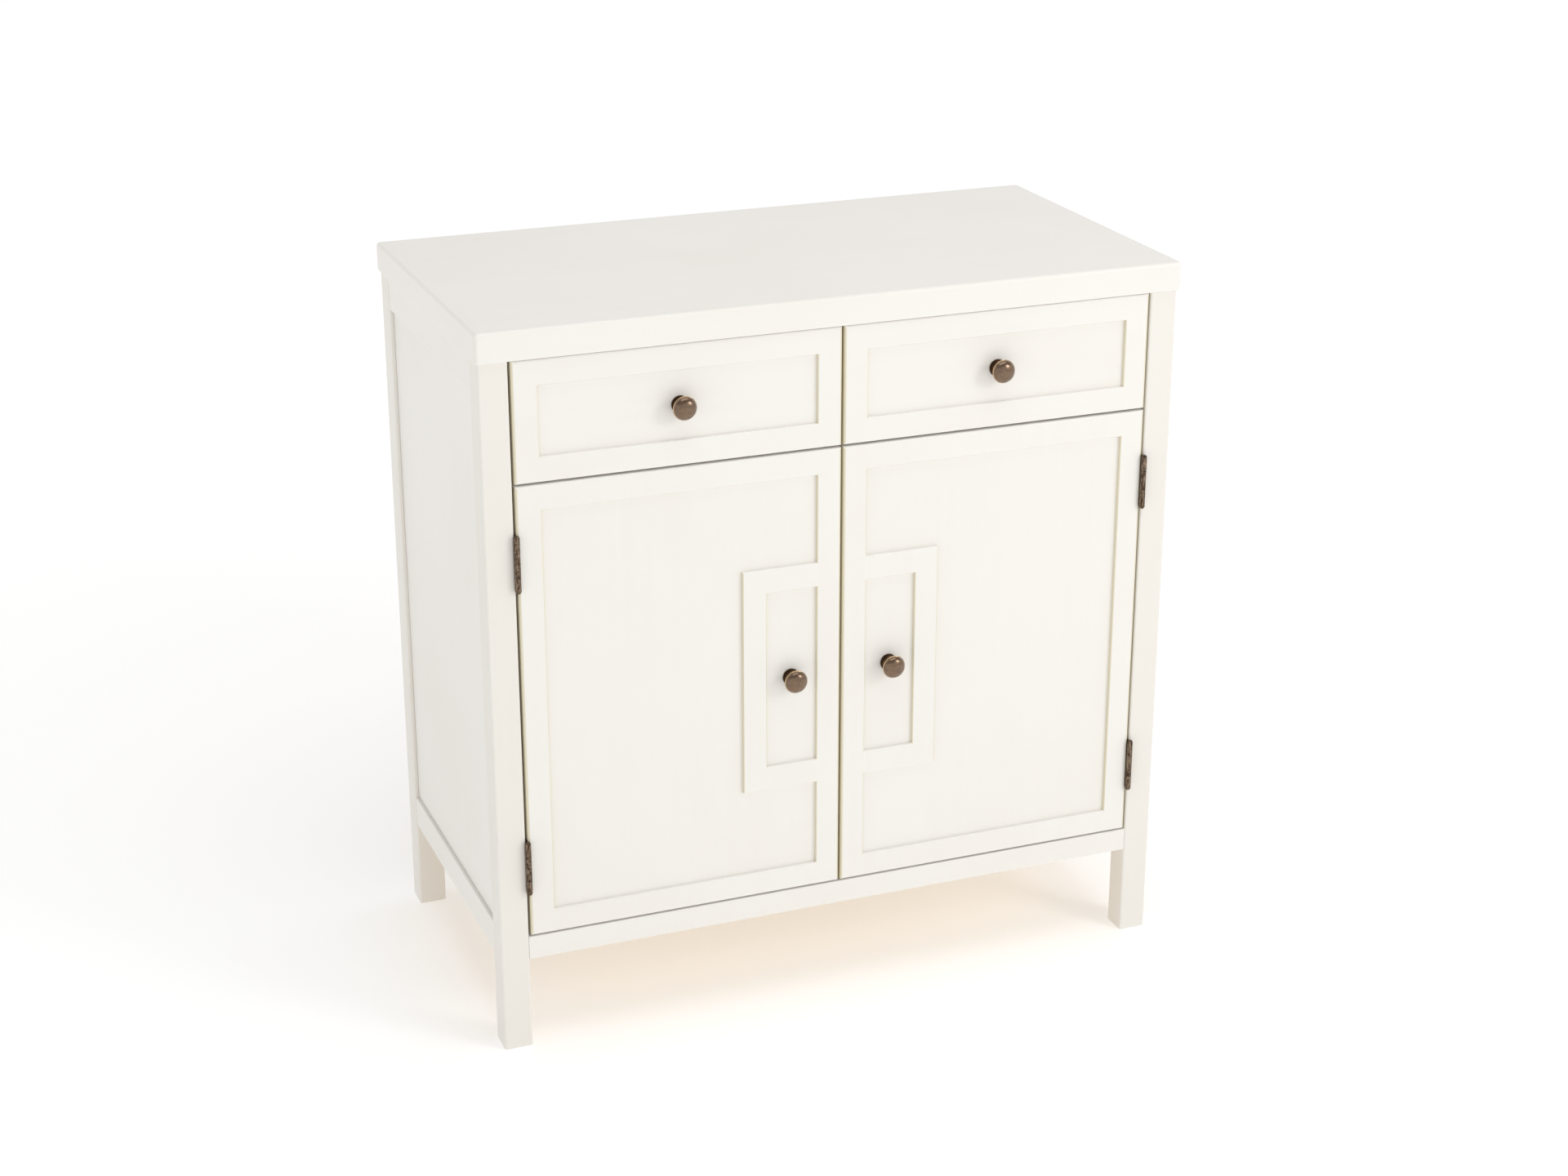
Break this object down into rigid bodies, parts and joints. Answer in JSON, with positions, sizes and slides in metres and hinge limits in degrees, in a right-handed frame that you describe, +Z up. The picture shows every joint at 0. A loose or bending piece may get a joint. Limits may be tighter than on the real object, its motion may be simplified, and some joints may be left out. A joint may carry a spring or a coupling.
{
  "type": "apothecary cabinet",
  "caption": "Low painted cupboard on square legs, with side-by-side drawers over hinged framed doors, round brass knobs and a thick flat top.",
  "frame": {"origin": "floor level, midway between the sides and midway between the knob tips and the back edge of the top", "axes": "+X to the right seen from the front, +Y from front to back, +Z up"},
  "size_m": [0.8, 0.429, 0.818],
  "materials": {
    "cream_paint": "satin cream paint on wood and MDF, lightly worn at the edges",
    "plain_wood": "planed pine, clear matt lacquer",
    "inner_board": "birch-faced board, matt",
    "back_board": "thin hardboard, matt",
    "aged_brass": "antique brass, brown lacquer worn to gold on the rim",
    "bronze": "dark bronze finish, satin",
    "zinc_steel": "bright zinc",
    "catch_plastic": "off-white moulded plastic",
    "magnet": "dark ferrite with steel pole plates"
  },
  "bodies": {
    "case": {"top_board": "cream_paint", "front_bottom_rail": "cream_paint", "back_bottom_rail": "cream_paint", "left_front_post": "cream_paint", "left_back_post": "cream_paint", "left_bottom_side_rail": "cream_paint", "left_top_side_rail": "cream_paint", "left_side_panel": "cream_paint", "right_front_post": "cream_paint", "right_back_post": "cream_paint", "right_bottom_side_rail": "cream_paint", "right_top_side_rail": "cream_paint", "right_side_panel": "cream_paint", "front_top_rail": "plain_wood", "back_top_rail": "plain_wood", "drawer_runners": "plain_wood", "board_bearers": "plain_wood", "drawer_divider": "plain_wood", "drawer_deck": "inner_board", "floor_board": "inner_board", "shelf": "inner_board", "back_panel": "back_board", "shelf_pins": "zinc_steel", "top_board_screws": "zinc_steel", "back_panel_nails": "zinc_steel", "post_hinge_leaves": "bronze", "hinge_pins": "bronze", "small_case_screws": "bronze", "catch_housings": "catch_plastic", "catch_magnets": "magnet"},
    "left_door": {"left_door_frame": "cream_paint", "left_door_lock_frame": "cream_paint", "left_door_panel": "cream_paint", "left_door_knob": "aged_brass", "left_door_knob_screw": "zinc_steel", "left_door_strike_plate": "zinc_steel", "left_door_hinge_leaves": "bronze", "left_door_screws": "bronze"},
    "left_drawer": {"left_drawer_face_frame": "cream_paint", "left_drawer_front_panel": "cream_paint", "left_drawer_sides": "plain_wood", "left_drawer_back": "plain_wood", "left_drawer_bottom": "inner_board", "left_drawer_knob": "aged_brass", "left_drawer_knob_screw": "zinc_steel"},
    "right_door": {"right_door_frame": "cream_paint", "right_door_lock_frame": "cream_paint", "right_door_panel": "cream_paint", "right_door_knob": "aged_brass", "right_door_knob_screw": "zinc_steel", "right_door_strike_plate": "zinc_steel", "right_door_hinge_leaves": "bronze", "right_door_screws": "bronze"},
    "right_drawer": {"right_drawer_face_frame": "cream_paint", "right_drawer_front_panel": "cream_paint", "right_drawer_sides": "plain_wood", "right_drawer_back": "plain_wood", "right_drawer_bottom": "inner_board", "right_drawer_knob": "aged_brass", "right_drawer_knob_screw": "zinc_steel"}
  },
  "joints": [
    {"name": "left_drawer_slide", "type": "slide", "parent": "case", "child": "left_drawer", "axis": [0, -1, 0], "range_m": [0, 0.26]},
    {"name": "right_drawer_slide", "type": "slide", "parent": "case", "child": "right_drawer", "axis": [0, -1, 0], "range_m": [0, 0.26]},
    {"name": "left_door_hinge", "type": "hinge", "parent": "case", "child": "left_door", "pos_m": [-0.36375, -0.19795, 0.394], "axis": [0, 0, -1], "range_deg": [0, 170]},
    {"name": "right_door_hinge", "type": "hinge", "parent": "case", "child": "right_door", "pos_m": [0.36375, -0.19795, 0.394], "axis": [0, 0, 1], "range_deg": [0, 170]}
  ]
}
